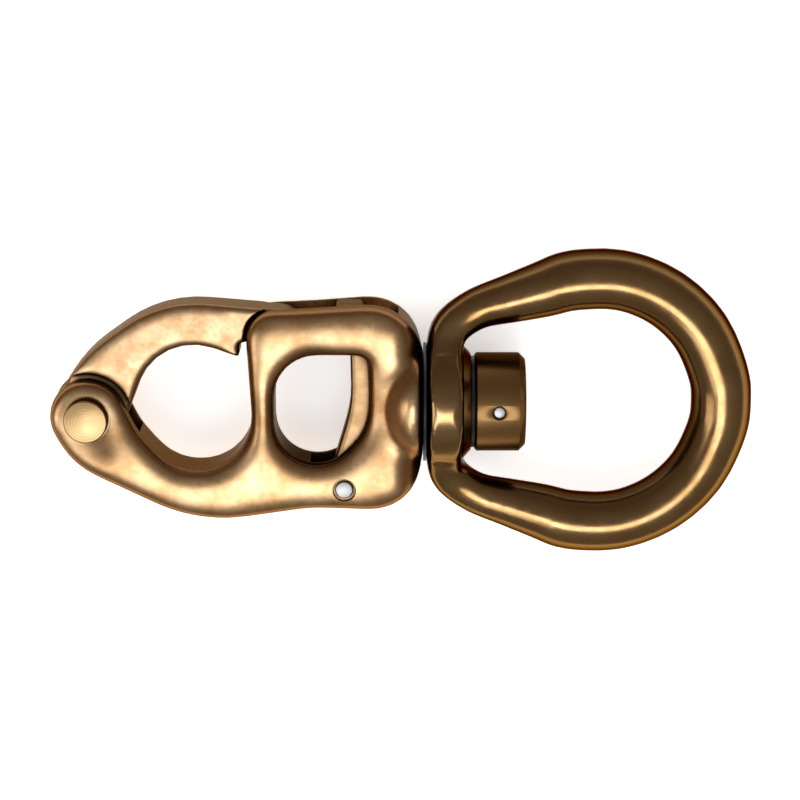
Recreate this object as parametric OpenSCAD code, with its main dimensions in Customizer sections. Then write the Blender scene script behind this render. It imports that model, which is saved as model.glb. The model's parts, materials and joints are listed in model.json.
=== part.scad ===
// Trigger snap shackle with a swivel bail, lying flat.
// X runs along the shackle from the jaw (-X) to the bail (+X), +Y is towards
// the side where the arm opens and +Z is up. The shape is first drawn with the
// swivel axis on X and the body's thrust face at X = 0, then seated on Z = 0.

/* [Body] */
// Thickness over the two cheeks
body_thick = 10.4; // [9.6:0.1:11.2]
// Rounding of the body's long edges
body_edge = 1.6; // [1:0.1:2]
// Rounding of the edges of the finger hole
hole_edge = 1.4; // [0.8:0.1:1.8]
// Height of the shoulder above the swivel axis
shoulder_height = 15.2; // [14.6:0.1:15.8]
// Radius of the shoulder
shoulder_round = 7.9; // [7:0.1:8.6]
// Depth of the heel below the swivel axis
heel_depth = 15.6; // [15.2:0.1:16]
// Radius of the heel
heel_round = 7.7; // [7:0.1:8.2]
// How far the shallow dip in the top edge lies below the shoulder
dip_drop = 0.6; // [0.5:0.1:0.9]
// Radius of the shallow dip
dip_round = 25; // [20:1:30]
// Distance of the dip from the thrust face
dip_back = 17.9; // [17.4:0.1:18.2]
// How far the front corner of the cheeks lies below the shoulder
corner_drop = 0.8; // [0.7:0.1:1.2]
// Radius of the front corner of the cheeks
corner_round = 4; // [3.4:0.1:4.2]
// Distance from the thrust face to the front of the cheeks
cheek_back = 25.9; // [25.5:0.1:26.3]
// Depth of the waist between the heel and the belly
waist_depth = 15.4; // [15.2:0.1:15.5]
// Radius of the waist
waist_round = 18; // [16:0.5:19]
// Distance of the waist from the thrust face
waist_back = 15.5; // [15.2:0.1:16]
// Depth of the belly under the jaw
belly_depth = 17; // [16.8:0.1:17.4]
// Radius of the belly
belly_round = 23.3; // [22:0.1:23.8]
// Distance of the belly from the thrust face
belly_back = 29.5; // [29.2:0.1:30]
// Radius of the chin between the belly and the pivot boss
chin_round = 11.6; // [11:0.1:11.7]
// Distance of the chin's centre from the pivot
chin_out = 6; // [5.9:0.1:6.4]

/* [Jaw and finger hole] */
// Radius of the jaw's bowl
jaw_round = 8.1; // [7.8:0.1:8.3]
// Distance of the jaw's centre from the thrust face
jaw_back = 33.3; // [33:0.1:33.5]
// Depth of the jaw's centre below the swivel axis
jaw_drop = 1.5; // [1.2:0.1:1.8]
// Radius where the bowl leads up to the pivot
jaw_lead_round = 5.6; // [5:0.1:5.8]
// Distance of the lead's centre behind the jaw's centre
jaw_lead_back = 4; // [3.9:0.1:4.4]
// Width of the finger hole
hole_width = 13.9; // [13:0.1:14.2]
// Distance from the thrust face to the finger hole
hole_back = 8; // [7.8:0.1:8.6]
// Height of the finger hole's flat top edge
hole_top = 7.8; // [7.2:0.1:8]
// Depth of the finger hole's bottom
hole_bottom = 8.7; // [8.4:0.1:9]
// Radius of the top corner on the jaw's side
hole_front_round = 6.4; // [5.6:0.1:6.8]
// Radius of the top corner on the swivel's side
hole_rear_round = 1.7; // [1.4:0.1:2.2]
// Radius of the bottom on the jaw's side
hole_bowl_round = 6.2; // [5.5:0.1:6.8]
// Radius of the bottom on the swivel's side
hole_sweep_round = 8.7; // [8:0.1:8.7]

/* [Pivot] */
// Distance of the pivot from the thrust face
pivot_back = 49.3; // [49:0.1:49.6]
// Depth of the pivot below the swivel axis
pivot_drop = 1.6; // [1.4:0.1:1.8]
// Radius of the body's boss around the pivot
boss_round = 5.6; // [5.5:0.1:5.7]
// Diameter of the pivot pin
pivot_pin_d = 6.4; // [5.6:0.1:6.6]
// How far the pivot pin stands out of each cheek
pivot_pin_proud = 1.2; // [0.6:0.1:1.6]
// Width of the ring cut around the pivot pin's ends
pivot_ring = 0.35; // [0.2:0.05:0.5]
// Depth of the rings cut around the ends of both pins
ring_depth = 0.5; // [0.3:0.1:0.8]
// Bevel on the ends of the pins
pin_bevel = 0.2; // [0.1:0.05:0.3]

/* [Arm] */
// Thickness of the arm outside the slot
arm_thick = 6.6; // [6:0.1:7.2]
// Rounding of the arm's edges
arm_edge = 0.8; // [0.5:0.1:0.8]
// Radius of the arm's eye
eye_round = 5.3; // [5:0.1:5.4]
// Radius of the arm's back next to the eye
back_round = 20.4; // [20:0.1:20.8]
// Radius of the arm's crown
crown_round = 18.1; // [17.8:0.1:18.4]
// How far the arm's crown rises above the shoulder
crown_rise = 0.2; // [0:0.1:0.4]
// Radius of the arm's side of the jaw
throat_round = 8.55; // [8.4:0.05:8.6]
// Height of the centre of the arm's side of the jaw
throat_height = 0.55; // [0.4:0.05:0.7]
// Distance from the front of the cheeks to the hook nib
nib_gap = 1; // [0.8:0.1:1.2]
// Gap between the tail and the slot's floor
tail_gap = 0.4; // [0.3:0.1:0.6]
// Height of the tail at its end
tail_h = 2.7; // [2.4:0.1:2.9]
// How far the hook nib hangs below the tail
nib_drop = 2.1; // [1.9:0.1:2.2]
// Gap between the arm's shoulders and the pivot boss
shoulder_gap = 0.9; // [0.7:0.1:1.1]

/* [Trigger] */
// Width of the slot for the arm and the trigger
slot_w = 5.2; // [4.8:0.1:5.6]
// Reach of the front slot from the pivot
slot_reach = 7.9; // [7.6:0.1:8.2]
// Height of the slot's floor in the web
slot_floor = 9.1; // [8.8:0.1:9.2]
// Distance from the thrust face to the rear end of the top slot
slot_back = 3.6; // [3.4:0.1:3.7]
// Distance of the trigger pin from the thrust face
trigger_pin_back = 11.6; // [11.3:0.1:12]
// Depth of the trigger pin below the swivel axis
trigger_pin_drop = 12.2; // [12:0.1:12.4]
// Diameter of the trigger pin
trigger_pin_d = 2.6; // [2.2:0.1:2.8]
// Width of the ring cut around the trigger pin's ends
trigger_ring = 0.45; // [0.2:0.05:0.6]
// Radius of the trigger's hub
hub_round = 2.5; // [2.2:0.1:2.6]
// Rounding of the trigger's edges
trigger_edge = 0.5; // [0.3:0.1:0.6]
// Radius of the trigger's finger side
finger_round = 18.8; // [17:0.2:20]
// Width of the trigger's lever at its middle
lever_w = 3.6; // [3.2:0.1:3.8]
// Distance of the latch face from the thrust face
latch_back = 9.4; // [9.3:0.1:9.5]
// Width of the trigger's head at the top
head_w = 3.6; // [3.2:0.1:4]

/* [Trigger spring] */
// Outer diameter of the spring
spring_d = 2.8; // [2.4:0.1:3]
// Diameter of the spring's wire
spring_wire = 0.4; // [0.3:0.05:0.5]
// Number of turns
spring_turns = 7; // [5:1:9]
// Height of the spring above the swivel axis
spring_height = 2.6; // [1.8:0.1:3.2]
// How far the spring's pocket reaches past the thrust face
pocket_reach = 1; // [0.4:0.1:1.6]

/* [Swivel] */
// Radius of the body's thrust face
thrust_round = 8.4; // [8:0.1:8.8]
// Length of the cove between the thrust face and the cheeks
cove_length = 4.6; // [4:0.1:5]
// Width of the rim at the thrust face
rim_w = 0.9; // [0.6:0.1:1.2]
// How far the cheeks end short of the thrust face
thrust_recess = 0.15; // [0.1:0.05:0.4]
// Diameter of the shank
shank_d = 8; // [7.4:0.1:8.4]
// Thickness of the thrust washer
thrust_washer_t = 0.4; // [0.3:0.1:0.8]
// Wall of the swivel bush
bush_wall = 1; // [0.8:0.1:1.2]
// Thickness of the outer washer
outer_washer_t = 0.5; // [0.4:0.1:0.8]
// Radius of the outer washer
outer_washer_round = 6.8; // [6.4:0.1:7]
// Diameter of the collar
collar_d = 14.6; // [14.4:0.1:15]
// Length of the collar
collar_length = 7.4; // [7:0.1:7.8]
// Bevel on the collar's outer end
collar_bevel = 1.2; // [0.6:0.1:1.4]
// Small bevel on the collar's inner end
collar_break = 0.3; // [0.2:0.05:0.4]
// Depth of the shank's end inside the collar
shank_recess = 0.6; // [0.4:0.1:0.8]
// Diameter of the collar pin
collar_pin_d = 1.7; // [1.5:0.1:2]
// Distance from the collar's inner end to its pin
collar_pin_in = 3.5; // [3.2:0.1:3.8]

/* [Bail] */
// Thickness of the bail's base
base_thick = 5.4; // [5:0.1:5.6]
// Height of the flats on the base, and of the thrust washer's rim, from the swivel axis
base_height = 8.8; // [8.4:0.1:9]
// Height of the turned boss on the base
bail_boss_t = 1.1; // [0.8:0.05:1.3]
// How far the foot of the turned boss lies inside the flats
bail_boss_in = 0.4; // [0.2:0.1:0.6]
// Distance from the thrust face to the centre of the bow
bow_out = 25.5; // [24.5:0.1:26.5]
// Radius of the bow's centre line
bow_round = 18.6; // [18:0.1:19]
// Diameter of the bow's wire
bow_wire = 9.1; // [8.8:0.1:9.4]
// Diameter of the wire where it leaves the base
neck_wire = 6.2; // [6:0.1:6.6]

/* [Fits] */
// Radial clearance of a pin that is held
held_fit = 0.02; // [0.01:0.01:0.05]
// Radial clearance of a pin or shaft that turns
run_fit = 0.06; // [0.03:0.01:0.1]
// Clearance between flat faces that slide on each other
face_gap = 0.05; // [0.03:0.01:0.1]
// Clearance on each side of the arm's tongue and the trigger
side_gap = 0.15; // [0.1:0.05:0.25]
// Clearance between the arm and the cheeks it closes against
cheek_gap = 0.3; // [0.2:0.05:0.4]
// Clearance between the arm's tail and the latch face
latch_gap = 0.15; // [0.1:0.05:0.2]

/* [Hidden] */
$fn = 64;

// Colours
bronze = "#c89b62";
dark_bronze = "#7a5a30";
pin_bronze = "#e0bd7c";
stainless = "silver";
black_plastic = "#1c1c1c";

// How finely rounds are cut
arc_step = 15;
arc_run = 2.2;
edge_steps = 3;

// Heights of the flat faces, from the middle plane
body_half = body_thick / 2;
arm_half = arm_thick / 2;
tongue_half = slot_w / 2 - side_gap;
past = 4;

// Centres
pivot = [-pivot_back, -pivot_drop];
trigger_pivot = [-trigger_pin_back, -trigger_pin_drop];

// Places along the swivel axis, from the thrust face outwards
washer_x = face_gap;
base_x = washer_x + thrust_washer_t + face_gap;
bail_boss_x = base_x + base_thick;
outer_washer_x = bail_boss_x + bail_boss_t + face_gap;
collar_x = outer_washer_x + outer_washer_t + face_gap;
collar_end_x = collar_x + collar_length;
collar_pin_x = collar_x + collar_pin_in;
body_end_x = -thrust_recess;

// Radii about the swivel axis
shank_r = shank_d / 2;
bush_r = shank_r + run_fit + bush_wall;
eye_bore_r = bush_r + held_fit;
collar_r = collar_d / 2;

// The seat: the lowest round of the swivel rests on Z = 0
thrust_washer_round = base_height;
low_round = max(thrust_round, base_height);
front_x = -pivot_back - boss_round;
rear_x = bow_out + bow_round + bow_wire / 2;
seat = [-(front_x + rear_x) / 2, 0, low_round];

corner_height = shoulder_height - corner_drop;

// The latch face is an arc about the pivot
latch_round = pivot_back - latch_back;

// Each outline is a chain of rounds [x, y, radius], anticlockwise and joined by
// straight runs that touch them. A negative radius is a hollow round.
body_chain = [
    [pivot.x, pivot.y, boss_round],
    [pivot.x + chin_out, 0, chin_round],
    [-belly_back, belly_round - belly_depth, belly_round],
    [-waist_back, -waist_depth - waist_round, -waist_round],
    [body_end_x - heel_round, heel_round - heel_depth, heel_round],
    [body_end_x - shoulder_round, shoulder_height - shoulder_round, shoulder_round],
    [-dip_back, shoulder_height - dip_drop + dip_round, -dip_round],
    [corner_round - cheek_back, corner_height - corner_round, corner_round],
    [-jaw_back, -jaw_drop, -jaw_round],
    [-jaw_back - jaw_lead_back, -jaw_drop + (jaw_round - jaw_lead_round) / 3, -jaw_lead_round]
];

hole_front = hole_back + hole_width;
hole_chain = [
    [hole_front_round - hole_front, hole_top - hole_front_round, hole_front_round],
    [hole_bowl_round - hole_front, hole_bowl_round - hole_bottom, hole_bowl_round],
    [-hole_back - hole_sweep_round, hole_sweep_round - hole_bottom, hole_sweep_round],
    [-hole_back - hole_rear_round, hole_top - hole_rear_round, hole_rear_round]
];

// The arm: eye, throat, hook nib, notch, tail, crown and back
nib_round = 0.3;
notch_round = 0.6;
tip_round = 0.5;
tail_over = 1;
tail_reach = latch_round - pivot_back + tail_over;
tail_drop_round = 2.7;
tail_drop_back = 15.8;
hump_round = 3.9;
hump_back = 21;
tail_bottom = slot_floor + tail_gap;
tail_top = tail_bottom + tail_h;
crown_height = shoulder_height + crown_rise;
throat_back = 33.6;
crown_back = 33.1;
back_in = 14.7;
back_down = 5;
nib_x = -cheek_back - nib_gap - nib_round;
arm_chain = [
    [pivot.x, pivot.y, eye_round],
    [-throat_back, throat_height, -throat_round],
    [nib_x, tail_bottom - nib_drop + nib_round, nib_round],
    [nib_x + nib_round + notch_round, tail_bottom - notch_round, -notch_round],
    [tail_reach, tail_bottom + tip_round, tip_round],
    [tail_reach, tail_top - tip_round, tip_round],
    [-tail_drop_back, tail_top + tail_drop_round, -tail_drop_round],
    [-hump_back, corner_height - hump_round, hump_round],
    [-crown_back, crown_height - crown_round, crown_round],
    [pivot.x + back_in, pivot.y - back_down, back_round]
];

// Where a round of radius r at height y just clears the latch face
latch_clear = 0.05;
function latch_x(y, r) = pivot.x + sqrt(pow(latch_round + r + latch_clear, 2) - pow(y - pivot.y, 2));

// The trigger: hub, lever, head and latch face
finger_back = 10.6;
finger_height = 2.6;
lever_round = 15.6;
lever_height = finger_height - 1;
head_round = 0.4;
head_step = 1.1;
head_top = shoulder_height - 0.1;
head_left = latch_x(head_top - head_round, head_round);
head_right = head_left + head_w;
nose_round = 0.6;
nose_height = slot_floor - 0.2;
trigger_chain = [
    [trigger_pivot.x, trigger_pivot.y, hub_round],
    [lever_w - finger_back - lever_round, lever_height, lever_round],
    [head_right, head_top - head_step, head_round],
    [head_right - head_round, head_top - head_round, head_round],
    [head_left, head_top - head_round, head_round],
    [pivot.x, pivot.y, -latch_round],
    [latch_x(nose_height, nose_round), nose_height, nose_round],
    [-finger_back - finger_round, finger_height, -finger_round]
];

// The trigger's part of the slot, open at the top and the bottom
slot_round = 2.85;
slot_bulge_round = 12.2;
slot_bulge = 0.5;
hub_clearance = 0.5;
trigger_slot_chain = [
    [trigger_pivot.x, -heel_depth - past, hub_round + hub_clearance],
    [-slot_back - slot_bulge_round - slot_bulge, slot_bulge, slot_bulge_round],
    [-slot_back - slot_round, shoulder_height + past, slot_round],
    [-slot_back - 4 * slot_round, shoulder_height + past, slot_round]
];

// Trigger spring, from the back of the lever to the end of its pocket
spring_start = lever_w - finger_back + 3 * face_gap;
spring_end = pocket_reach - face_gap;
pocket_r = spring_d / 2 + side_gap;

// ---- Outlines and solids made from them ----

function wrap(angle) = angle - 360 * floor((angle + 0.01) / 360);

// Direction of the outward normal on the straight run from one round to the next
function run_angle(from, to) =
    let (across = [to.x - from.x, to.y - from.y])
        atan2(across.y, across.x) - acos(max(-1, min(1, (from[2] - to[2]) / norm(across))));

function turn(round, start, end) = round[2] > 0 ? wrap(end - start) : -wrap(start - end);

// Points of a chain of rounds, each moved inwards by inset
function outline(chain, inset = 0) = [
    for (i = [0 : len(chain) - 1])
        let (
            round = chain[i],
            start = run_angle(chain[(i + len(chain) - 1) % len(chain)], round),
            sweep = turn(round, start, run_angle(round, chain[(i + 1) % len(chain)])),
            length = abs(round[2] * sweep * PI / 180),
            steps = max(1, ceil(abs(sweep) / arc_step), ceil(length / arc_run))
        )
            for (k = [0 : steps])
                let (angle = start + sweep * k / steps)
                    [
                        round.x + (round[2] - inset) * cos(angle),
                        round.y + (round[2] - inset) * sin(angle)
                    ]
];

// Twice the area of a triangle, positive when it runs anticlockwise
function corner_area(a, b, c) = (b.x - a.x) * (c.y - a.y) - (b.y - a.y) * (c.x - a.x);

function covers(a, b, c, p) =
    corner_area(a, b, p) > 0 && corner_area(b, c, p) > 0 && corner_area(c, a, p) > 0;

// Whether the corner at place i of the loop can be cut off as a triangle
function is_ear(points, loop, i) =
    let (
        count = len(loop),
        a = points[loop[(i + count - 1) % count]],
        b = points[loop[i % count]],
        c = points[loop[(i + 1) % count]]
    )
        corner_area(a, b, c) > 0 && len([for (j = loop) if (covers(a, b, c, points[j])) j]) == 0;

function next_ear(points, loop, i, tries = 0) =
    tries == len(loop) || is_ear(points, loop, i)
        ? i % len(loop)
        : next_ear(points, loop, i + 1, tries + 1);

// Triangles that fill a loop of points
function fill_loop(points, loop, from = 0) =
    len(loop) == 3
        ? [loop]
        : let (count = len(loop), i = next_ear(points, loop, from))
            concat(
                [[loop[(i + count - 1) % count], loop[i], loop[(i + 1) % count]]],
                fill_loop(points, [for (j = [0 : count - 1]) if (j != i) loop[j]], i + 1)
            );

// A solid through a stack of [height, inset] rings of one outline
module stack(chain, rings) {
    loops = [for (ring = rings) [for (p = outline(chain, ring[1])) [p.x, p.y, ring[0]]]];
    count = len(loops[0]);
    top = (len(rings) - 1) * count;
    ends = fill_loop(loops[0], [for (i = [0 : count - 1]) i]);
    sides = [
        for (j = [0 : len(rings) - 2])
            for (i = [0 : count - 1])
                let (a = j * count + i, b = j * count + (i + 1) % count)
                    [a, a + count, b + count, b]
    ];
    bottom_face = [for (t = ends) t];
    top_face = [for (t = ends) [top + t[2], top + t[1], top + t[0]]];
    polyhedron([for (loop = loops) for (p = loop) p], concat(sides, bottom_face, top_face), convexity = 6);
}

// Rings of a plate with rounded edges, from its underside to its middle
function edge_rings(half, edge) = [
    for (j = [0 : edge_steps])
        let (angle = 90 * j / edge_steps)
            [-half + edge * (1 - cos(angle)), edge * (1 - sin(angle))]
];

function mirrored(rings) = [for (j = [len(rings) - 1 : -1 : 0]) [-rings[j][0], rings[j][1]]];

module rounded_plate(chain, half, edge) {
    rings = edge_rings(half, edge);
    stack(chain, concat(rings, mirrored(rings)));
}

// A cutter for a through hole whose edges are rounded over
module rounded_hole(chain, half, edge) {
    rings = concat([[-half - past, -edge]], [for (r = edge_rings(half, edge)) [r[0], -r[1]]]);
    stack(chain, concat(rings, mirrored(rings)));
}

// A turned piece about the swivel axis, from a profile of [x, radius] points
module turned(profile) {
    rotate([0, 90, 0])
        rotate_extrude()
            polygon([for (p = profile) [p.y, p.x]]);
}

module pin(r, half, bevel) {
    rotate_extrude()
        polygon([
            [0, -half], [r - bevel, -half], [r, bevel - half],
            [r, half - bevel], [r - bevel, half], [0, half]
        ]);
}

module at(place) {
    translate([place.x, place.y, 0])
        children();
}

// A cut above and one below the middle plane, each side of the tongue
module both_sides() {
    for (side = [0, 1])
        mirror([0, 0, side])
            children();
}

// ---- Body ----

// Cove that spreads from the cheeks to the thrust face
module swivel_boss() {
    sink = 0.2;
    rise = thrust_round - body_half + sink;
    cove_round = (cove_length * cove_length + rise * rise) / (2 * rise);
    cove_angle = asin(cove_length / cove_round);
    start = -rim_w - cove_length;
    turned(concat(
        [[start, 0]],
        [
            for (k = [0 : 6])
                let (angle = cove_angle * k / 6)
                    [start + cove_round * sin(angle), body_half - sink + cove_round * (1 - cos(angle))]
        ],
        [[0, thrust_round], [0, 0]]
    ));
}

module shank() {
    end = collar_end_x - shank_recess;
    turned([
        [-rim_w, 0], [-rim_w, shank_r],
        [end - pin_bevel, shank_r], [end, shank_r - pin_bevel], [end, 0]
    ]);
}

module arm_slot() {
    at(pivot)
        cylinder(r = slot_reach, h = slot_w, center = true);
    translate([-cheek_back - past, slot_floor, -slot_w / 2])
        cube([cheek_back + past + tail_reach, shoulder_height + past - slot_floor, slot_w]);
}

module trigger_slot() {
    translate([0, 0, -slot_w / 2])
        linear_extrude(slot_w)
            polygon(outline(trigger_slot_chain));
}

module spring_pocket() {
    translate([-slot_back - 1, spring_height, 0])
        rotate([0, 90, 0])
            cylinder(r = pocket_r, h = slot_back + 1 + pocket_reach);
}

module pin_holes() {
    at(pivot) {
        cylinder(d = pivot_pin_d + 2 * held_fit, h = body_thick + past, center = true);
        both_sides()
            translate([0, 0, body_half - ring_depth])
                cylinder(r = pivot_pin_d / 2 + pivot_ring, h = past);
    }
    at(trigger_pivot) {
        cylinder(d = trigger_pin_d + 2 * held_fit, h = body_thick + past, center = true);
        both_sides()
            translate([0, 0, body_half - ring_depth])
                cylinder(r = trigger_pin_d / 2 + trigger_ring, h = past);
    }
    translate([collar_pin_x, 0, 0])
        cylinder(d = collar_pin_d + 2 * held_fit, h = shank_d + past, center = true);
}

module body() {
    color(bronze)
        difference() {
            union() {
                rounded_plate(body_chain, body_half, body_edge);
                swivel_boss();
                shank();
            }
            rounded_hole(hole_chain, body_half, hole_edge);
            arm_slot();
            trigger_slot();
            spring_pocket();
            pin_holes();
        }
}

// ---- Arm ----

module cheek_clearance() {
    translate([0, 0, tongue_half])
        linear_extrude(arm_thick)
            polygon(outline(body_chain, -cheek_gap));
    at(pivot)
        translate([0, 0, tongue_half])
            cylinder(r = boss_round + shoulder_gap, h = arm_thick);
}

module arm() {
    color(bronze)
        difference() {
            intersection() {
                rounded_plate(arm_chain, arm_half, arm_edge);
                at(pivot)
                    cylinder(r = latch_round - latch_gap, h = 2 * arm_thick, center = true, $fn = 180);
            }
            both_sides()
                cheek_clearance();
            at(pivot)
                cylinder(d = pivot_pin_d + 2 * run_fit, h = arm_thick + past, center = true);
        }
}

module pivot_pin() {
    color(pin_bronze)
        at(pivot)
            pin(pivot_pin_d / 2, body_half + pivot_pin_proud, pin_bevel);
}

// ---- Trigger ----

module trigger() {
    color(bronze)
        difference() {
            rounded_plate(trigger_chain, tongue_half, trigger_edge);
            at(trigger_pivot)
                cylinder(d = trigger_pin_d + 2 * run_fit, h = slot_w + past, center = true);
        }
}

module trigger_pin() {
    color(stainless)
        at(trigger_pivot)
            pin(trigger_pin_d / 2, body_half - face_gap, pin_bevel);
}

// A coil of round wire along X, built as rings of points along the helix
module trigger_spring() {
    wire_r = spring_wire / 2;
    coil_r = spring_d / 2 - wire_r;
    per_turn = 12;
    around = 6;
    count = spring_turns * per_turn;
    reach = spring_end - spring_start - spring_wire;
    rings = [
        for (k = [0 : count])
            let (angle = 360 * k / per_turn, x = spring_start + wire_r + reach * k / count)
                [
                    for (i = [0 : around - 1])
                        let (spin = 360 * i / around, out = coil_r + wire_r * cos(spin))
                            [x + wire_r * sin(spin), spring_height + out * cos(angle), out * sin(angle)]
                ]
    ];
    sides = [
        for (k = [0 : count - 1])
            for (i = [0 : around - 1])
                let (a = k * around + i, b = k * around + (i + 1) % around)
                    each [[a, b, b + around], [a, b + around, a + around]]
    ];
    first = [for (i = [around - 1 : -1 : 0]) i];
    last = [for (i = [0 : around - 1]) count * around + i];
    color(stainless)
        polyhedron([for (ring = rings) for (p = ring) p], concat(sides, [first, last]), convexity = 10);
}

// ---- Swivel ----

module thrust_washer() {
    end = washer_x + thrust_washer_t;
    bore = shank_r + run_fit;
    color(black_plastic)
        turned([
            [washer_x, bore], [washer_x, thrust_washer_round],
            [end, thrust_washer_round], [end, bore]
        ]);
}

module swivel_bush() {
    start = base_x + face_gap;
    end = outer_washer_x - 2 * face_gap;
    bore = shank_r + run_fit;
    color(black_plastic)
        turned([[start, bore], [start, bush_r], [end, bush_r], [end, bore]]);
}

module outer_washer() {
    end = outer_washer_x + outer_washer_t;
    bore = shank_r + run_fit;
    color(black_plastic)
        turned([
            [outer_washer_x, bore], [outer_washer_x, outer_washer_round],
            [end, outer_washer_round], [end, bore]
        ]);
}

module swivel_collar() {
    bore = shank_r + held_fit;
    color(dark_bronze)
        difference() {
            turned([
                [collar_x, bore], [collar_x, collar_r - collar_break],
                [collar_x + collar_break, collar_r], [collar_end_x - collar_bevel, collar_r],
                [collar_end_x, collar_r - collar_bevel], [collar_end_x, bore]
            ]);
            translate([collar_pin_x, 0, 0])
                cylinder(d = collar_pin_d + 2 * held_fit, h = collar_d + past, center = true);
        }
}

module collar_pin() {
    color(stainless)
        translate([collar_pin_x, 0, 0])
            pin(collar_pin_d / 2, collar_r - face_gap, pin_bevel);
}

// ---- Bail ----

// Stations round the bail: [x, y, half width, half height, squareness]
base_half = base_thick / 2;
base_mid = base_x + base_half;
bow_r = bow_wire / 2;
neck_r = neck_wire / 2;
corner_half = base_half + 0.15;
side_half = 0.6 * neck_r + 0.4 * bow_r;
bow_start = 101;
bow_step = 22;
side_stations = [
    [base_mid, 0, base_half, 1.04 * base_height, 5],
    [base_mid, 0.51 * base_height, base_half, 0.97 * base_height, 5],
    [base_mid, 0.97 * base_height, base_half, 0.58 * base_height, 4],
    [base_mid + 1.1, 0.617 * bow_round, corner_half, neck_r + 0.4, 3],
    [base_mid + 4.7, 0.754 * bow_round, neck_r, neck_r, 2.2],
    [0.495 * bow_out, 0.832 * bow_round, side_half, side_half, 2],
    [0.7 * bow_out, 0.914 * bow_round, 0.94 * bow_r, 0.95 * bow_r, 2]
];
bow_stations = [
    for (angle = [bow_start : -bow_step : 1])
        [bow_out + bow_round * cos(angle), bow_round * sin(angle), bow_r, bow_r, 2]
];
half_stations = concat(side_stations, bow_stations, [[bow_out + bow_round, 0, bow_r, bow_r, 2]]);
stations = concat(
    half_stations,
    [
        for (i = [len(half_stations) - 2 : -1 : 1])
            let (s = half_stations[i])
                [s[0], -s[1], s[2], s[3], s[4]]
    ]
);

// A smooth curve through four stations
function between(a, b, c, d, t) =
    (2 * b + (c - a) * t + (2 * a - 5 * b + 4 * c - d) * t * t + (3 * b - a - 3 * c + d) * t * t * t) / 2;

function station_at(i, t) =
    let (n = len(stations))
        between(stations[(i + n - 1) % n], stations[i], stations[(i + 1) % n], stations[(i + 2) % n], t);

function power(v, p) = sign(v) * pow(abs(v), p);

module bail_ring() {
    fine = 3;
    around = 16;
    path = [for (i = [0 : len(stations) - 1]) for (k = [0 : fine - 1]) station_at(i, k / fine)];
    count = len(path);
    rings = [
        for (i = [0 : count - 1])
            let (
                s = path[i],
                ahead = path[(i + 1) % count],
                behind = path[(i + count - 1) % count],
                along = [ahead[0] - behind[0], ahead[1] - behind[1]],
                out = [-along.y, along.x] / norm(along)
            )
                [
                    for (k = [0 : around - 1])
                        let (
                            spin = 360 * (k + 0.5) / around,
                            side = s[2] * power(cos(spin), 2 / s[4]),
                            up = s[3] * power(sin(spin), 2 / s[4]),
                            flat = max(-base_height, min(base_height, up))
                        )
                            [s[0] + side * out.x, s[1] + side * out.y, flat]
                ]
    ];
    sides = [
        for (i = [0 : count - 1])
            for (k = [0 : around - 1])
                let (
                    a = i * around + k,
                    b = i * around + (k + 1) % around,
                    c = ((i + 1) % count) * around + (k + 1) % around,
                    d = ((i + 1) % count) * around + k
                )
                    each [[a, c, b], [a, d, c]]
    ];
    polyhedron([for (ring = rings) for (p = ring) p], sides, convexity = 6);
}

module bail() {
    boss_end = bail_boss_x + bail_boss_t;
    boss_r = collar_r - 0.1;
    boss_foot_r = base_height - bail_boss_in;
    boss_rim = 0.25;
    color(dark_bronze)
        difference() {
            union() {
                bail_ring();
                turned([
                    [base_mid, 0], [base_mid, boss_foot_r],
                    [bail_boss_x, boss_foot_r], [boss_end - boss_rim, boss_r],
                    [boss_end, boss_r], [boss_end, 0]
                ]);
            }
            translate([-past, 0, 0])
                rotate([0, 90, 0])
                    cylinder(r = eye_bore_r, h = boss_end + 2 * past);
        }
}

translate(seat) body();
translate(seat) arm();
translate(seat) pivot_pin();
translate(seat) trigger();
translate(seat) trigger_pin();
translate(seat) trigger_spring();
translate(seat) thrust_washer();
translate(seat) bail();
translate(seat) swivel_bush();
translate(seat) outer_washer();
translate(seat) swivel_collar();
translate(seat) collar_pin();
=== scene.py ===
# Trigger snap shackle with a swivel bail, cast and turned in bronze, lying flat
# on a pale table. The pieces follow in the order in which they are put together.
import json
import math

import bpy
from mathutils import Matrix, Vector


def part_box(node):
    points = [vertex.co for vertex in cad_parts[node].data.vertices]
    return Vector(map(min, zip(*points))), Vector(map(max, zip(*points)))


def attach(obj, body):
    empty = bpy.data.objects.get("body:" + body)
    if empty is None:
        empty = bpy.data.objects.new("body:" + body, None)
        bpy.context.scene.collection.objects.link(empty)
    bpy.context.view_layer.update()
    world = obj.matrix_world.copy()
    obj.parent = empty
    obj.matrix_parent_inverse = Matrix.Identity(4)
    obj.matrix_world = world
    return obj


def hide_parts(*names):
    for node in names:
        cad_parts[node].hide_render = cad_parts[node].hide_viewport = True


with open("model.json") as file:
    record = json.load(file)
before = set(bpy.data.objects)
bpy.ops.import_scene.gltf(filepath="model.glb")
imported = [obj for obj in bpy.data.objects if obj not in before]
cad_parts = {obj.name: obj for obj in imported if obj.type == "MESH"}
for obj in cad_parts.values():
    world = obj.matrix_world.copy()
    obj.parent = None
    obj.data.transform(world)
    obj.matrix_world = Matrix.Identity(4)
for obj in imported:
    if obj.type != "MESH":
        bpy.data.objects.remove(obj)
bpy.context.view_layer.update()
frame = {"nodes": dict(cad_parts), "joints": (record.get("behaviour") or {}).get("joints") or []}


# ---- Body ----
# The body is investment cast in aluminium bronze, in one piece with its swivel
# shank: two cheeks with a jaw and a finger hole, and a slot between them that
# is milled for the arm and the trigger. It is tumbled soft and polished by hand.

mm = 0.001
joints = {joint["name"]: joint for joint in frame["joints"]}
pivot = Vector(joints["arm_hinge"]["pos_m"])
trigger_pivot = Vector(joints["trigger_hinge"]["pos_m"])
swivel = Vector(joints["bail_swivel"]["pos_m"])
middle = swivel.z
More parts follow.
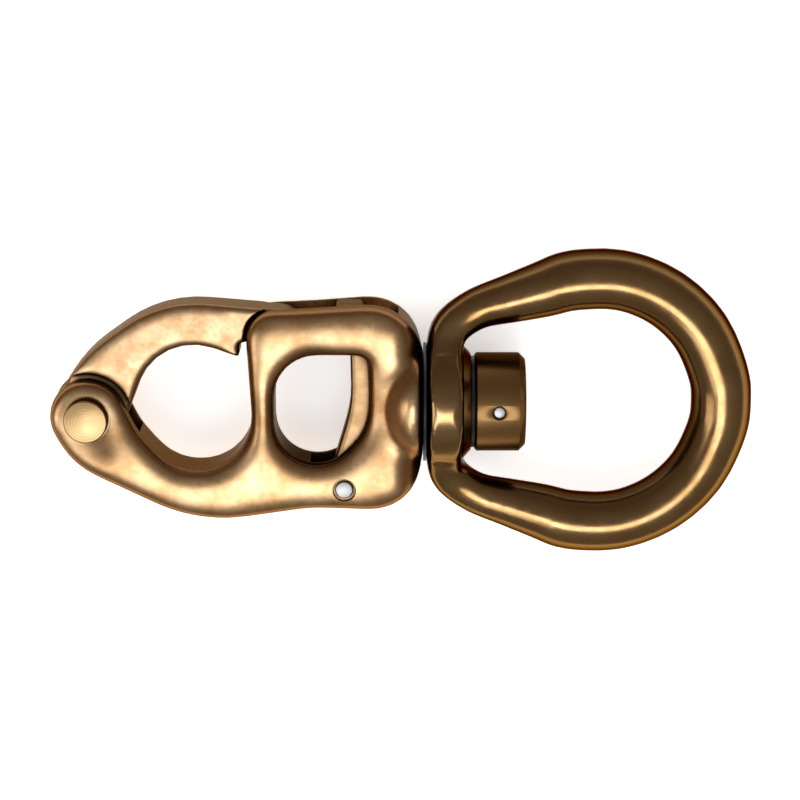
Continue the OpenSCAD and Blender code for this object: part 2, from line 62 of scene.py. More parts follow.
# Closer than a hair counts as the same place. The gaps are those between turned faces,
# round a pin that is held and round one that turns.
hair = 0.01 * mm
face_gap, held_fit, run_fit = 0.05 * mm, 0.02 * mm, 0.06 * mm
thrust_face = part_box("thrust_washer")[0].x - face_gap
body_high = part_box("body")[1]
pin_low, pin_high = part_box("pivot_pin")
pin_stands_out = 1.2 * mm
cheek_top = pin_high.z - pin_stands_out
pivot_pin_r = (pin_high.x - pin_low.x) / 2
trigger_pin_low, trigger_pin_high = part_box("trigger_pin")
trigger_pin_r = (trigger_pin_high.x - trigger_pin_low.x) / 2
slot_half = 2.6 * mm
slot_floor = 9.1 * mm
pivot_ring = 0.35 * mm
trigger_ring = 0.45 * mm
ring_depth = 0.5 * mm
under, over = -2 * mm, 20 * mm  # clear of the shackle, for tools that cut through


def work_on(piece, mode="OBJECT"):
    """Makes a piece the only one selected, in object or edit mode."""
    if bpy.context.mode != "OBJECT":
        bpy.ops.object.mode_set(mode="OBJECT")
    bpy.ops.object.select_all(action="DESELECT")
    piece.select_set(True)
    bpy.context.view_layer.objects.active = piece
    bpy.ops.object.mode_set(mode=mode)
    return piece


def copy_of(node, name):
    """A copy of a CAD node, with its loose triangles merged."""
    piece = frame["nodes"][node].copy()
    piece.data = piece.data.copy()
    piece.name = piece.data.name = name
    for key in list(piece.keys()):
        del piece[key]
    piece.parent = None
    piece.data.materials.clear()
    bpy.context.scene.collection.objects.link(piece)
    work_on(piece, "EDIT")
    bpy.ops.mesh.select_all(action="SELECT")
    bpy.ops.mesh.remove_doubles(threshold=hair / 5)
    bpy.ops.mesh.normals_make_consistent(inside=False)
    bpy.ops.object.mode_set(mode="OBJECT")
    return piece


def select_faces(piece, test):
    """Selects the faces whose centre and normal pass a test, and nothing else."""
    work_on(piece, "EDIT")
    bpy.ops.mesh.select_mode(type="FACE")
    bpy.ops.mesh.select_all(action="DESELECT")
    bpy.ops.object.mode_set(mode="OBJECT")
    for face in piece.data.polygons:
        face.select = test(face.center, face.normal)
    bpy.ops.object.mode_set(mode="EDIT")


def apply_modifier(piece, kind, **settings):
    """Adds a modifier with its settings and applies it."""
    work_on(piece)
    modifier = piece.modifiers.new(kind.title(), kind)
    for key, value in settings.items():
        setattr(modifier, key, value)
    bpy.ops.object.modifier_apply(modifier=modifier.name)


def combine(piece, tool, operation):
    """Joins a tool to a piece or keeps what they share, and throws the tool away."""
    apply_modifier(piece, "BOOLEAN", object=tool, operation=operation, solver="MANIFOLD")
    bpy.data.objects.remove(tool)


def cut(piece, tool):
    """Cuts a tool out of a piece."""
    combine(piece, tool, "DIFFERENCE")


def rod(name, radius, start, end, sides=96):
    """A round rod between two points, as a starting solid or a cutting tool."""
    along = end - start
    bpy.ops.mesh.primitive_cylinder_add(
        vertices=sides, radius=radius, depth=along.length, location=(start + end) / 2,
        rotation=along.to_track_quat("Z", "Y").to_euler(),
    )
    piece = bpy.context.object
    piece.name = piece.data.name = name
    bpy.ops.object.transform_apply(location=True, rotation=True, scale=True)
    return piece


def block(name, low, high):
    """A square block between two corners."""
    bpy.ops.mesh.primitive_cube_add(size=1, location=(low + high) / 2, scale=high - low)
    piece = bpy.context.object
    piece.name = piece.data.name = name
    bpy.ops.object.transform_apply(location=True, rotation=True, scale=True)
    return piece


def bevel_rim(piece, x, width, segments):
    """Bevels the round edge at one place along the swivel axis."""
    work_on(piece, "EDIT")
    bpy.ops.mesh.select_mode(type="EDGE")
    bpy.ops.mesh.select_all(action="DESELECT")
    bpy.ops.object.mode_set(mode="OBJECT")
    spots = piece.data.vertices
    for edge in piece.data.edges:
        edge.select = all(abs(spots[v].co.x - x) < hair for v in edge.vertices)
    bpy.ops.object.mode_set(mode="EDIT")
    bpy.ops.mesh.bevel(offset=width, segments=segments, affect="EDGES")
    bpy.ops.object.mode_set(mode="OBJECT")


def reskin(piece, grain):
    """Gives a piece an even skin of small faces."""
    apply_modifier(piece, "REMESH", mode="VOXEL", voxel_size=grain, adaptivity=0)


def rub(piece, passes, **settings):
    """Rubs a piece's edges soft, more with each pass."""
    apply_modifier(piece, "SMOOTH", factor=0.5, iterations=passes, **settings)


def soften(piece, grain, passes, crown, flat_from=None):
    """Rubs a casting's edges soft and crowns its faces, but leaves them flat past one
    place along x."""
    reskin(piece, grain)
    rub(piece, passes)
    fade = 2 * mm
    group = piece.vertex_groups.new(name="crowned")
    for corner in piece.data.vertices:
        run = 1.0 if flat_from is None else (flat_from - corner.co.x) / fade
        group.add([corner.index], max(0.0, min(1.0, run)), "REPLACE")
    rub(piece, crown, use_x=False, use_y=False, vertex_group=group.name)
    piece.vertex_groups.clear()


def swell(piece, centre, reach, height):
    """Raises or sinks both faces round a spot, fading out at its reach."""
    for corner in piece.data.vertices:
        away = (Vector((corner.co.x, corner.co.y)) - centre).length / reach
        if away < 1:
            up = (corner.co.z - middle) / (cheek_top - middle)
            corner.co.z += height * up * (1 + math.cos(math.pi * away)) / 2


def place(piece, body, slot, *nodes, material=None, crease=35):
    """Shades a piece, gives it its material and says what it rides on and replaces."""
    work_on(piece)
    bpy.ops.object.shade_smooth_by_angle(angle=math.radians(crease))
    piece.data.materials.clear()
    piece.data.materials.append(material)
    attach(piece, body)
    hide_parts(*nodes)


def upright(name, centre, radius, low, high):
    """A rod that stands on a centre, from one height to another."""
    foot, head = Vector((centre.x, centre.y, low)), Vector((centre.x, centre.y, high))
    return rod(name, radius, foot, head)


def on_axis(name, radius, start, end, sides=128):
    """A rod along the swivel axis."""
    near, far = Vector((start, swivel.y, middle)), Vector((end, swivel.y, middle))
    return rod(name, radius, near, far, sides)


def colour(code):
    """An sRGB hex code as the linear colour that shaders take."""
    parts = [int(code[i:i + 2], 16) / 255 for i in (1, 3, 5)]
    return tuple(
        c / 12.92 if c <= 0.04045 else ((c + 0.055) / 1.055) ** 2.4 for c in parts
    ) + (1.0,)


def node(tree, kind, settings=None, links=None):
    """Adds a shader node, sets its properties and sockets, and links others into it.
    A socket goes by its name, or by its number where several share a name."""
    made = tree.nodes.new("ShaderNode" + kind)
    for key, value in (settings or {}).items():
        if isinstance(key, int) or key in made.inputs:
            made.inputs[key].default_value = value
        else:
            setattr(made, key, value)
    for key, source in (links or {}).items():
        tree.links.new(made.inputs[key], source)
    return made


def finish(name, roughness):
    """A plain material, ready for its colour and its marks."""
    material = bpy.data.materials.new(name)
    material.use_nodes = True
    shader = material.node_tree.nodes["Principled BSDF"]
    shader.inputs["Roughness"].default_value = roughness
    return material, material.node_tree, shader


warm_rim = (0.5, 0.42, 0.35, 1)


def metal(name, roughness, rim=warm_rim):
    """A bare metal, whose reflections at a glancing angle are warm and dim."""
    material, tree, shader = finish(name, roughness)
    shader.inputs["Metallic"].default_value = 1.0
    shader.inputs["Specular Tint"].default_value = rim
    return material, tree, shader


# The upper cheek without its slot: trimmed level, with its pin holes plugged, then
# cut free above the slot, drawn down to the middle plane and mirrored
pin_ends = ((pivot, pivot_pin_r, pivot_ring), (trigger_pivot, trigger_pin_r, trigger_ring))
web_cut = middle + 2.8 * mm
body = copy_of("body", "body_casting")
cut(body, block("cove", Vector((-7 * mm, -12 * mm, cheek_top)), Vector((20, 12, 20)) * mm))
for centre, radius, ring in pin_ends:
    plug = upright("plug", centre, radius + ring + 0.1 * mm, middle, cheek_top)
    combine(body, plug, "UNION")
work_on(body, "EDIT")
for spot, normal in (((0, 0, web_cut), (0, 0, -1)), ((thrust_face, 0, 0), (1, 0, 0))):
    bpy.ops.mesh.select_all(action="SELECT")
    bpy.ops.mesh.bisect(plane_co=spot, plane_no=normal, use_fill=True, clear_outer=True)
select_faces(body, lambda centre, normal: abs(centre.z - web_cut) < hair and normal.z < -0.9)
bpy.ops.mesh.extrude_region_move(TRANSFORM_OT_translate={"value": (0, 0, middle - web_cut)})
bpy.ops.mesh.delete(type="FACE")
work_on(body)
body.data.transform(Matrix.Translation((0, 0, -middle)))
apply_modifier(body, "MIRROR", use_axis=(False, False, True), merge_threshold=hair)
body.data.transform(Matrix.Translation((0, 0, middle)))

# The round end over the swivel, which rises out of the cheeks like part of a ball
ball_x, ball_r, ball_length = 3.0 * mm, 8.4 * mm, 7.0 * mm
bpy.ops.mesh.primitive_uv_sphere_add(
    segments=96, ring_count=48, radius=ball_r, location=(ball_x, swivel.y, middle),
    scale=(ball_length / ball_r, 1, 1),
)
ball = bpy.context.object
bpy.ops.object.transform_apply(location=True, rotation=True, scale=True)
turned_end = on_axis("turned_end", ball_r - 0.15 * mm, ball_x - ball_length, thrust_face)
bevel_rim(turned_end, thrust_face, 1.3 * mm, 5)
combine(turned_end, ball, "INTERSECT")

# The cheeks end in half an oval, seen from the side
body_grain = 0.26 * mm
reskin(body, body_grain)
end_x, end_length, end_half, reach_y = -3.0 * mm, 6.3 * mm, 5.6 * mm, 20 * mm
cheek_end = rod(
    "cheek_end", end_half, Vector((end_x, -reach_y, middle)), Vector((end_x, reach_y, middle)), 160,
)
cheek_end.data.transform(
    Matrix.Translation((end_x, 0, 0)) @ Matrix.Diagonal((end_length / end_half, 1, 1, 1))
    @ Matrix.Translation((-end_x, 0, 0))
)
cheek_run = block("cheek_run", Vector((-60, -21, -5)) * mm, Vector((end_x / mm, 21, 25)) * mm)
combine(cheek_end, cheek_run, "UNION")
combine(body, cheek_end, "INTERSECT")
combine(body, turned_end, "UNION")

# Tumbled soft, with the cheeks thicker towards the swivel and dished round the pivot:
# each spot's centre, reach and height, in millimetres
soften(body, body_grain, 30, 170)
for spot, reach, height in (
    ((1.5, 11), 14, 0.7), ((0.5, -11), 13, 0.7), ((pivot.x / mm, pivot.y / mm), 9.5, -0.55),
):
    swell(body, Vector(spot) * mm, reach * mm, height * mm)

# Painted shade on the wall of the finger hole and on the web and the bar on either side of the
# finger hole, and a darker spot by the pivot, all marked to take a browner, darker colour. Each
# spot has its centre and reach in millimetres, and its weight.
painted_shade = body.data.attributes.new("painted_shade", "FLOAT", "POINT")
hole_centre, hole_reach, hole_fade = Vector((-11.5, -0.4)) * mm, 10.8 * mm, 1.5 * mm
wall_tilt = 0.6
dark_spots = (((-43.6, -6.8), 4.6, 0.42), ((-21.2, 0), 9, 0.34), ((-13.5, 9.2), 9, 0.34))
for corner, mark in zip(body.data.vertices, painted_shade.data):
    spot = Vector((corner.co.x, corner.co.y))
    wall = 1 - min(1, abs(corner.normal.z) / wall_tilt)
    inner = max(0, min(1, (hole_reach - (spot - hole_centre).length) / hole_fade))
    marks = [wall * inner]
    for centre, reach, weight in dark_spots:
        near = max(0, 1 - (spot - Vector(centre) * mm).length / (reach * mm))
        marks.append(weight * near * near * (3 - 2 * near))
    mark.value = max(marks)

# The slots, milled after the casting is polished, so that their edges are crisp. The
# trigger's slots leave room for its soft edges to swing.
slot_low, slot_high = middle - slot_half, middle + slot_half
hub_x, web_top = trigger_pivot.x, body_high.y + 3 * mm
slot_start = -13.6 * mm


def slot_tool(name, x_low, y_low, x_high, y_high):
    """A block as thick as the slot, as a cutting tool."""
    return block(name, Vector((x_low, y_low, slot_low)), Vector((x_high, y_high, slot_high)))


cut(body, upright("arm_slot", pivot, 7.9 * mm, slot_low, slot_high))
cut(body, slot_tool("tail_slot", -26.8 * mm, slot_floor, -5.3 * mm, web_top))
trigger_slot = upright(
    "trigger_slot", Vector((-13.2, 0.5, 0)) * mm, 12.9 * mm, slot_low, slot_high,
)
web_side = block("web_side", Vector((slot_start, -11 * mm, 0)), Vector((0, 12 * mm, over)))
combine(trigger_slot, web_side, "INTERSECT")
cut(body, trigger_slot)
cut(body, slot_tool("top_slot", slot_start, 1 * mm, -0.5 * mm, web_top))
cut(body, slot_tool("heel_slot", hub_x - 3 * mm, -20 * mm, hub_x + 4.3 * mm, -7 * mm))

# Pin holes, each with a ring cut round the pin's ends
for centre, radius, ring in pin_ends:
    cut(body, upright("hole", centre, radius + held_fit, 0, over))
    cut(body, upright("ring", centre, radius + ring, cheek_top - ring_depth, over))
    cut(body, upright("ring", centre, radius + ring, under, 2 * middle - cheek_top + ring_depth))

# The shank that the bail swivels on, with the spring's pocket and the cross pin's hole
shank_r = 4 * mm
shank = on_axis("shank", shank_r, thrust_face - 2 * mm, body_high.x)
apply_modifier(shank, "BEVEL", width=0.2 * mm, segments=2)
combine(body, shank, "UNION")
spring_low, spring_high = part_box("trigger_spring")
spring_y = ((spring_low + spring_high) / 2).y
pocket_r = (spring_high.z - spring_low.z) / 2 + 0.15 * mm
cut(body, rod(
    "spring_pocket", pocket_r, Vector((-2 * mm, spring_y, middle)),
    Vector((spring_high.x + face_gap, spring_y, middle)), 48,
))
collar_pin_low, collar_pin_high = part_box("collar_pin")
cross_pin = (collar_pin_low + collar_pin_high) / 2
cross_pin_r = (collar_pin_high.x - collar_pin_low.x) / 2
cut(body, upright("cross_hole", cross_pin, cross_pin_r + held_fit, 0, over))


MIX_A, MIX_B, MIX_RESULT = 6, 7, 2


def skin_with_shade(tree, face, edge, side, hollow_shade, reach):
    """A metal's colour with painted shade: bright on faces that lie flat, browner round the edges
    and dull on the sides for the dark room that they reflect, browner and darker where painted
    shade is marked on the piece, and nearly black in hollows where little light reaches."""
    normal = node(tree, "TexCoord").outputs["Normal"]
    height = node(tree, "SeparateXYZ", {}, {"Vector": normal}).outputs["Z"]
    upward = node(tree, "Math", {"operation": "ABSOLUTE"}, {0: height}).outputs[0]
    tilt = node(tree, "Math", {"operation": "ARCCOSINE"}, {0: upward}).outputs[0]
    # Painted shade marked on the piece tips it towards the edge colour and the hollow colour
    painted_shade = node(tree, "Attribute", {"attribute_name": "painted_shade"}).outputs["Fac"]
    shaded_tilt = node(tree, "Math", {"operation": "MULTIPLY_ADD", 1: 0.6}, {0: painted_shade, 2: tilt})
    lies_flat = node(
        tree, "MapRange",
        {"interpolation_type": "SMOOTHSTEP", "From Min": 0.75, "From Max": 0.05},
        {"Value": shaded_tilt.outputs[0]},
    )
    edge_shaded = node(
        tree, "Mix", {"data_type": "RGBA", MIX_A: colour(edge)},
        {"Factor": lies_flat.outputs["Result"], MIX_B: face},
    )
    # Painted shade: the steep sides take the dull side colour
    upright_part = node(tree, "MapRange", {"From Min": 0.7, "From Max": 1.15}, {"Value": tilt})
    skin = node(
        tree, "Mix", {"data_type": "RGBA", MIX_B: colour(side)},
        {"Factor": upright_part.outputs["Result"], MIX_A: edge_shaded.outputs[MIX_RESULT]},
    )
    # Painted shade in hollows: where the occlusion finds little open air, the colour goes nearly
    # black
    hollow = node(tree, "AmbientOcclusion", {"samples": 8, "Distance": reach})
    unshaded = node(tree, "Math", {"operation": "SUBTRACT"}, {0: hollow.outputs["AO"], 1: painted_shade})
    open_air = node(
        tree, "MapRange", {"From Min": 0.35, "From Max": 0.78}, {"Value": unshaded.outputs[0]},
    )
    darkened_in_hollows = node(
        tree, "Mix", {"data_type": "RGBA", MIX_A: colour(hollow_shade)},
        {"Factor": open_air.outputs["Result"], MIX_B: skin.outputs[MIX_RESULT]},
    )
    return darkened_in_hollows.outputs[MIX_RESULT]


def cast_bronze(name, bright, dull, edge, side, hollow_shade, roughness, patch, grain,
                ripple=0.03, reach=3 * mm, rim=warm_rim):
    """Aluminium bronze with painted shade on its edges, its sides and in its hollows: its tint
    drifts in soft patches, and a faint unevenness left by polishing breaks up the reflections."""
    material, tree, shader = metal(name, roughness, rim)
    coords = node(tree, "TexCoord").outputs["Object"]
    drift = node(
        tree, "TexNoise", {"Scale": 1 / patch, "Detail": 3.0, "Roughness": 0.55},
        {"Vector": coords},
    )
    tint = node(tree, "ValToRGB", {}, {"Fac": drift.outputs["Fac"]})
    low, high = tint.color_ramp.elements
    low.position, high.position = 0.35, 0.65
    low.color, high.color = colour(dull), colour(bright)
    # Painted shade on the edges, the sides and in the hollows
    skin = skin_with_shade(tree, tint.outputs["Color"], edge, side, hollow_shade, reach)
    tree.links.new(shader.inputs["Base Color"], skin)
    polish = node(
        tree, "TexNoise", {"Scale": 1 / grain, "Detail": 4.0, "Roughness": 0.6},
        {"Vector": coords},
    ).outputs["Fac"]
    swing = 0.04
    sheen = node(
        tree, "MapRange",
        {"From Min": 0.3, "From Max": 0.7,
         "To Min": roughness - swing, "To Max": roughness + swing},
        {"Value": polish},
    )
    tree.links.new(shader.inputs["Roughness"], sheen.outputs["Result"])
    bump = node(tree, "Bump", {"Strength": ripple, "Distance": 0.02 * mm}, {"Height": polish})
    tree.links.new(shader.inputs["Normal"], bump.outputs["Normal"])
    return material


# The edge, side and hollow colours are painted shade.
tumbled_bronze = cast_bronze(
    "tumbled_cast_bronze", bright="#FED8A6", dull="#D8AA78", edge="#9C6C40", side="#6E523C",
    hollow_shade="#0C0704", roughness=0.30, patch=5 * mm, grain=0.9 * mm, reach=4 * mm,
)
place(body, "shackle_body", "bronze", "body", material=tumbled_bronze)


# ---- Snap arm ----
# The arm is cast in the same bronze and its faces are ground by hand, which leaves them
# slightly crowned and their tint mottled. Its eye turns on the pivot pin, and its thin
# tail, which stays flat, runs into the slot, where the trigger holds it.
arm = copy_of("arm", "snap_arm_casting")
soften(arm, 0.18 * mm, 14, 120, flat_from=-25 * mm)
cut(arm, upright("arm_bore", pivot, pivot_pin_r + run_fit, 0, over))
# The edge, side and hollow colours are painted shade.
ground_bronze = cast_bronze(
    "ground_cast_bronze", bright="#FFDEB0", dull="#E4B484", edge="#9C6C40", side="#74604C",
    hollow_shade="#0C0704", roughness=0.35, patch=2.6 * mm, grain=0.5 * mm, ripple=0.08,
)
place(arm, "snap_arm", "bronze", "arm", material=ground_bronze)


# ---- Pivot pin ----
# The pin that the arm turns on is turned from bronze bar and pressed through both
# cheeks. Its ends stand proud, faced off on the lathe with fine rings.
pivot_pin = upright("pivot_pin_turned", pivot, pivot_pin_r, pin_low.z, pin_high.z)
apply_modifier(pivot_pin, "BEVEL", width=0.22 * mm, segments=3, limit_method="ANGLE")


def turned_bronze(name, code, edge, side, roughness, centre, axis, pitch, depth, drawn_out):
    """Bronze straight from the lathe: fine rings round the turning axis catch the
    light and draw its reflections out across them. Real ones are about 0.1 mm apart,
    and these are drawn coarser, so that they show."""
    material, tree, shader = metal(name, roughness)
    coords = node(tree, "TexCoord").outputs["Object"]
    centred = node(tree, "Mapping", {"Location": tuple(-c for c in centre)}, {"Vector": coords})
    pitch_at_scale_one = 0.314
    rings = node(
        tree, "TexWave",
        {"wave_type": "RINGS", "rings_direction": axis, "Scale": pitch_at_scale_one / pitch,
         "Distortion": 1.5, "Detail": 2.0, "Detail Scale": 1.5},
        {"Vector": centred.outputs["Vector"]},
    ).outputs["Fac"]
    shades = node(tree, "ValToRGB", {}, {"Fac": rings})
    for stop, shade in zip(shades.color_ramp.elements, (0.88, 1.0)):
        stop.color = tuple(c * shade for c in colour(code)[:3]) + (1,)
    # Painted shade on the edges, the sides and in the hollows, as for the cast bronze
    skin = skin_with_shade(tree, shades.outputs["Color"], edge, side, "#080502", 1.2 * mm)
    tree.links.new(shader.inputs["Base Color"], skin)
    groove = node(tree, "Bump", {"Strength": 0.5, "Distance": depth}, {"Height": rings})
    tree.links.new(shader.inputs["Normal"], groove.outputs["Normal"])
    shader.inputs["Anisotropic"].default_value = drawn_out
    around = node(tree, "Tangent", {"direction_type": "RADIAL", "axis": axis})
    tree.links.new(shader.inputs["Tangent"], around.outputs["Tangent"])
    return material


# The edge and side colours are painted shade.
faced_bronze = turned_bronze(
    "faced_bar_bronze", "#FCD49A", edge="#8E6238", side="#5C4430", roughness=0.34,
    centre=pivot, axis="Z", pitch=0.45 * mm, depth=0.005 * mm, drawn_out=0.6,
)
place(pivot_pin, "shackle_body", "pin_bronze", "pivot_pin", material=faced_bronze)


# ---- Trigger ----
# The trigger is a curved lever with a hub at its foot and a head that shows in the
# top slot. It is cast in bronze and polished where the finger pulls it.
trigger = copy_of("trigger", "trigger_lever")
soften(trigger, 0.14 * mm, 36, 40)
cut(trigger, upright("trigger_bore", trigger_pivot, trigger_pin_r + run_fit, 0, over))
# The edge, side and hollow colours are painted shade.
lever_bronze = cast_bronze(
    "lever_cast_bronze", bright="#DAB68A", dull="#C09A6C", edge="#84603A", side="#5C4430",
    hollow_shade="#0C0704", roughness=0.34, patch=2 * mm, grain=0.5 * mm, reach=2 * mm,
)
place(trigger, "finger_trigger", "bronze", "trigger", material=lever_bronze)


# ---- Trigger pin ----
# A short stainless pin that the trigger turns on. It is pressed through both cheeks and
# ground flush with them.
trigger_pin = upright(
    "trigger_pin_ground", trigger_pivot, trigger_pin_r, trigger_pin_low.z, trigger_pin_high.z,
)
apply_modifier(trigger_pin, "BEVEL", width=0.2 * mm, segments=3, limit_method="ANGLE")


def fine_marks(tree, shader, size, strength, detail=2.0):
    """Marks left by a tool. Real ones are too fine to show, so they are drawn coarse
    enough to dull the reflections."""
    coords = node(tree, "TexCoord").outputs["Object"]
    marks = node(tree, "TexNoise", {"Scale": 1 / size, "Detail": detail}, {"Vector": coords})
    bump = node(
        tree, "Bump", {"Strength": strength, "Distance": 0.01 * mm},
        {"Height": marks.outputs["Fac"]},
    )
    tree.links.new(shader.inputs["Normal"], bump.outputs["Normal"])


# Ground stainless steel is a cool light grey, with a soft and faintly scratched shine
bare_steel, tree, shader = metal("ground_stainless_steel", 0.38)
shader.inputs["Base Color"].default_value = colour("#DCDCDE")
fine_marks(tree, shader, 0.25 * mm, 0.2, detail=3.0)
place(trigger_pin, "shackle_body", "steel", "trigger_pin", material=bare_steel)


# ---- Trigger spring ----
# A small coil of stainless spring wire that pushes the lever back. It sits in a pocket
# behind it, hidden from outside, so that its solid is shown as it is.
spring = frame["nodes"]["trigger_spring"]
# Drawn wire is smooth and bright, with faint lines from the die
drawn_wire, tree, shader = metal("drawn_spring_wire", 0.3)
shader.inputs["Base Color"].default_value = colour("#C9C9CC")
fine_marks(tree, shader, 0.1 * mm, 0.1)
for slot in spring.material_slots:
    slot.material = drawn_wire


# ---- Washers and bush ----
# The bail turns on black acetal, turned and left matt, so that it shows as dark lines:
# a wide thrust washer against the body, a plain bush in the bail's eye and a thin
# washer under the collar.
acetal, tree, shader = finish("turned_black_acetal", 0.45)
shader.inputs["Base Color"].default_value = colour("#141210")
fine_marks(tree, shader, 0.3 * mm, 0.2)


def turned_ring(name, source, bore, bevel):
    """A flat ring about the swivel axis, as long and as wide as its CAD node."""
    low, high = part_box(source)
    ring = on_axis(name, (high.y - low.y) / 2, low.x, high.x)
    cut(ring, on_axis("ring_bore", bore, low.x - mm, high.x + mm))
    apply_modifier(
        ring, "BEVEL", width=bevel, segments=2, limit_method="ANGLE", angle_limit=math.radians(60),
    )
    return ring


washer_bore = shank_r + run_fit
for node_name, rides_on, bevel in (
    ("thrust_washer", "shackle_body", 0.08 * mm), ("outer_washer", "shackle_body", 0.08 * mm),
    ("swivel_bush", "swivel_bail", 0.1 * mm),
):
    ring = turned_ring(node_name + "_turned", node_name, washer_bore, bevel)
    place(ring, rides_on, "black_plastic", node_name, material=acetal)


# ---- Bail ----
# The bail is forged in one piece from bronze bar: a flat base with an eye, two
# necks and a round bow. It has a darker, smoother finish, and a boss is turned
# on the base round the eye.
base_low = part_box("swivel_bush")[0].x - face_gap
boss_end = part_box("outer_washer")[0].x - face_gap
boss_start = boss_end - 1.1 * mm
bail_grain = 0.28 * mm
bail = copy_of("bail", "bail_forging")
cut(bail, on_axis("old_boss", 9 * mm, boss_start, boss_end + mm))
combine(bail, on_axis("eye_plug", 6 * mm, base_low + hair, boss_start - hair), "UNION")
reskin(bail, bail_grain)

# The base is crowned above and below, as part of a wide cylinder along the swivel axis
crown_r, crown_half, crown_foot = 10.6 * mm, 8.3 * mm, 5.1 * mm
bail_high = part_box("bail")[1]
for side in (1, -1):
    low, high = sorted(middle + side * z for z in (crown_foot, bail_high.z - middle + mm))
    crown = block(
        "crown", Vector((base_low - mm, -crown_half, low)),
        Vector((boss_start + mm, crown_half, high)),
    )
    centre = middle + side * (bail_high.z - middle - crown_r)
    cut(crown, rod(
        "crown_top", crown_r, Vector((base_low - 2 * mm, swivel.y, centre)),
        Vector((boss_end + mm, swivel.y, centre)), 256,
    ))
    cut(bail, crown)
reskin(bail, bail_grain)

# Smoothed all over, and again on the bow, fading in past the base
bow_fade = 5 * mm
bow = bail.vertex_groups.new(name="bow")
for corner in bail.data.vertices:
    far = max(0.0, min(1.0, (corner.co.x - boss_end) / bow_fade))
    bow.add([corner.index], far, "REPLACE")
rub(bail, 14)
rub(bail, 40, vertex_group="bow")
bail.vertex_groups.clear()

# The turned boss round the eye
bpy.ops.mesh.primitive_cone_add(
    vertices=128, radius1=8.4 * mm, radius2=7.2 * mm, depth=boss_end - boss_start,
    location=((boss_start + boss_end) / 2, swivel.y, middle), rotation=(0, math.radians(90), 0),
)
boss = bpy.context.object
bpy.ops.object.transform_apply(location=True, rotation=True, scale=True)
combine(boss, on_axis("boss_foot", 6.5 * mm, boss_start - mm, boss_end - 0.2 * mm), "UNION")
combine(bail, boss, "UNION")
cut(bail, on_axis("eye", 5.08 * mm, base_low - mm, boss_end + mm))
# The edge, side and hollow colours are painted shade.
forged_bronze = cast_bronze(
    "forged_dark_bronze", bright="#CCA676", dull="#B08A58", edge="#86643E", side="#40301F",
    hollow_shade="#080502", roughness=0.2, patch=8 * mm, grain=1.6 * mm, ripple=0.01,
    reach=0.7 * mm, rim=(0.38, 0.31, 0.25, 1),
)
place(bail, "swivel_bail", "dark_bronze", "bail", material=forged_bronze)


# ---- Swivel collar ----
# A collar turned from bronze bar screws onto the end of the shank and keeps the
# bail on. It has a bevelled outer end and fine tool marks round it.
collar_low, collar_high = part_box("swivel_collar")
collar_r = (collar_high.y - collar_low.y) / 2
collar = on_axis("swivel_collar_turned", collar_r, collar_low.x, collar_high.x)
bevel_rim(collar, collar_high.x, 0.9 * mm, 1)
bevel_rim(collar, collar_low.x, 0.3 * mm, 1)
cut(collar, on_axis("collar_bore", shank_r + held_fit, collar_low.x - mm, collar_high.x + mm))
cut(collar, upright("pin_hole", cross_pin, cross_pin_r + held_fit, under, over))
sink_r, sink_foot = cross_pin_r + 0.22 * mm, middle + collar_r - 0.5 * mm
cut(collar, upright("countersink", cross_pin, sink_r, sink_foot, over))
apply_modifier(
    collar, "BEVEL", width=0.1 * mm, segments=2, limit_method="ANGLE", angle_limit=math.radians(40),
)
# The edge and side colours are painted shade.
lathe_bronze = turned_bronze(
    "turned_dark_bronze", "#AC8656", edge="#8E683E", side="#3E2C1A", roughness=0.33,
    centre=swivel, axis="X", pitch=0.5 * mm, depth=0.002 * mm, drawn_out=0.4,
)
place(collar, "shackle_body", "dark_bronze", "swivel_collar", material=lathe_bronze)


# ---- Collar pin ----
# A stainless cross pin, pressed through the collar and the shank, locks the thread.
# Both its ends are set a little below the collar's skin.
set_in = 0.3 * mm
collar_pin = upright(
    "collar_pin_ground", cross_pin, cross_pin_r,
    collar_pin_low.z + set_in, collar_pin_high.z - set_in,
)
apply_modifier(collar_pin, "BEVEL", width=0.15 * mm, segments=3, limit_method="ANGLE")
place(collar_pin, "shackle_body", "steel", "collar_pin", material=bare_steel)


# ---- Table, studio and camera ----
# A white table in a warm, dim room. One soft box hangs nearly overhead, a smaller
# one leans in from the near left and a tall one stands low on the left. The camera
# looks down from a little behind the shackle.
bpy.ops.mesh.primitive_plane_add(size=4, location=(0, 0, -0.05 * mm))
table = bpy.context.object
table.name = "table"


def seen_directly(tree):
    """One for rays from the camera or off metal and glass, nothing for rays that light."""
    rays = node(tree, "LightPath").outputs
    either = node(
        tree, "Math", {"operation": "MAXIMUM"},
        {0: rays["Is Camera Ray"], 1: rays["Is Glossy Ray"]},
    )
    seen = node(
        tree, "Math", {"operation": "MAXIMUM"},
        {0: either.outputs[0], 1: rays["Is Transmission Ray"]},
    )
    return seen.outputs[0]


# Matt white board, which takes a soft shadow. A faint glow lifts it to plain white where
# it is seen, directly or in the metal, and adds no light.
white_table, tree, board = finish("white_matt_board", 0.9)
board.inputs["Base Color"].default_value = colour("#F4F4F4")
glow = node(tree, "Emission", {"Color": (1, 1, 1, 1), "Strength": 0.35})
lifted = node(tree, "AddShader", {}, {0: board.outputs[0], 1: glow.outputs[0]})
paper = node(
    tree, "MixShader", {}, {"Fac": seen_directly(tree), 1: board.outputs[0], 2: lifted.outputs[0]},
)
tree.links.new(tree.nodes["Material Output"].inputs["Surface"], paper.outputs[0])
table.data.materials.append(white_table)

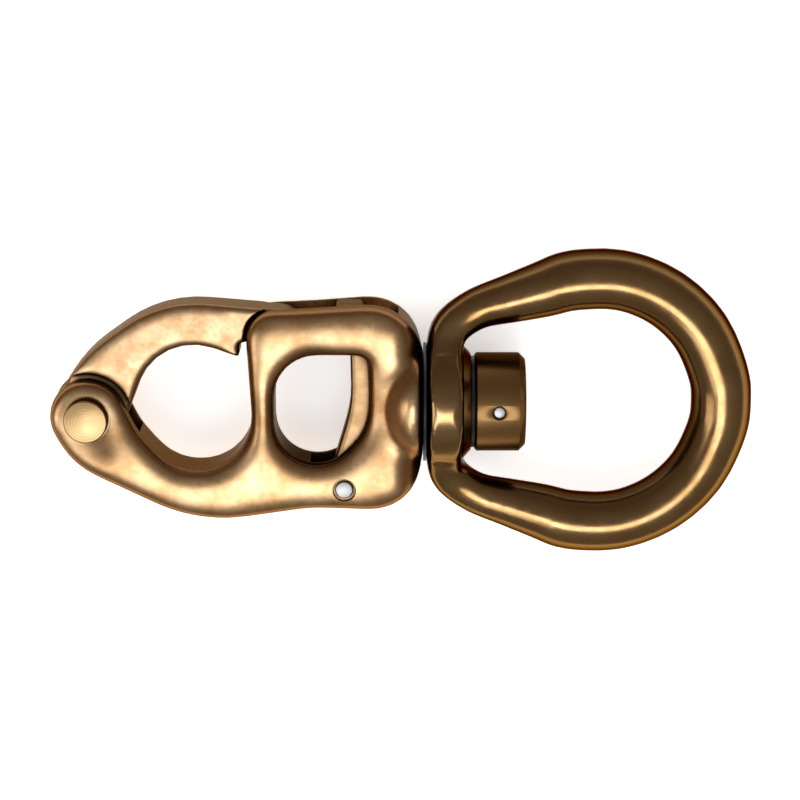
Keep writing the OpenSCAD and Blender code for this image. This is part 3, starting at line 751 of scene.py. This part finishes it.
# The room: walls that are pale at the horizon and darker upwards, and a little brighter
# on the near side. Matt surfaces are lit by an even white fill instead.
world = bpy.data.worlds.new("white_room")
bpy.context.scene.world = world
world.use_nodes = True
tree = world.node_tree
tree.nodes.clear()
coords = node(tree, "TexCoord").outputs["Generated"]
direction = node(tree, "SeparateXYZ", {}, {"Vector": coords})
wall = node(tree, "ValToRGB", {}, {"Fac": direction.outputs["Z"]})
stops = wall.color_ramp.elements
stops[0].color, stops[1].color = (0.55, 0.55, 0.55, 1), (0.17, 0.17, 0.17, 1)
stops.new(0.1).color = (0.32, 0.32, 0.32, 1)
stops.new(0.3).color = (0.20, 0.20, 0.20, 1)
nearness = node(
    tree, "MapRange", {"From Min": -0.8, "From Max": 0.9, "To Min": 1.15, "To Max": 1.05},
    {"Value": direction.outputs["Y"]},
)
whole_mix = {"data_type": "RGBA", "blend_type": "MULTIPLY", "Factor": 1.0}
shade = node(
    tree, "Mix", whole_mix, {MIX_A: wall.outputs["Color"], MIX_B: nearness.outputs["Result"]},
)
warmth = node(
    tree, "Mix", {**whole_mix, MIX_B: (1, 0.93, 0.86, 1)}, {MIX_A: shade.outputs[MIX_RESULT]},
)
room = node(tree, "Background", {"Strength": 1.0}, {"Color": warmth.outputs[MIX_RESULT]})
fill = node(tree, "Background", {"Color": (1, 1, 1, 1), "Strength": 1.4})
matt = node(tree, "LightPath").outputs["Is Diffuse Ray"]
mix = node(tree, "MixShader", {}, {"Fac": matt, 1: room.outputs[0], 2: fill.outputs[0]})
node(tree, "OutputWorld", {}, {"Surface": mix.outputs[0]})

aim = Vector((-0.27, 0.2, 8.8)) * mm
lamp_distance = 0.9


def soft_box(name, direction, size, watts):
    """A flat lamp that faces the shackle from a direction."""
    lamp = bpy.data.lights.new(name, "AREA")
    lamp.shape, lamp.size, lamp.size_y, lamp.energy = "RECTANGLE", size[0], size[1], watts
    holder = bpy.data.objects.new(name, lamp)
    bpy.context.scene.collection.objects.link(holder)
    holder.location = aim + Vector(direction).normalized() * lamp_distance
    holder.rotation_euler = Vector(direction).to_track_quat("Z", "Y").to_euler()


soft_box("top_box", (-0.02, -0.29, 0.95), size=(0.40, 0.22), watts=0.95)
soft_box("corner_box", (-0.31, -0.44, 0.84), size=(0.3, 0.25), watts=0.42)
soft_box("side_box", (-0.73, -0.18, 0.67), size=(0.25, 0.5), watts=0.8)

lens = bpy.data.cameras.new("camera")
camera = bpy.data.objects.new("camera", lens)
bpy.context.scene.collection.objects.link(camera)
camera_distance, lean, view_angle = 0.370, math.radians(14), math.radians(18.18)
camera.location = aim + Vector((0, math.sin(lean), math.cos(lean))) * camera_distance
camera.rotation_euler = (-lean, 0, 0)
lens.sensor_width = 36
lens.angle = view_angle
lens.clip_start, lens.clip_end = 0.01, 20
bpy.context.scene.camera = camera
bpy.context.scene.view_settings.view_transform = "Standard"
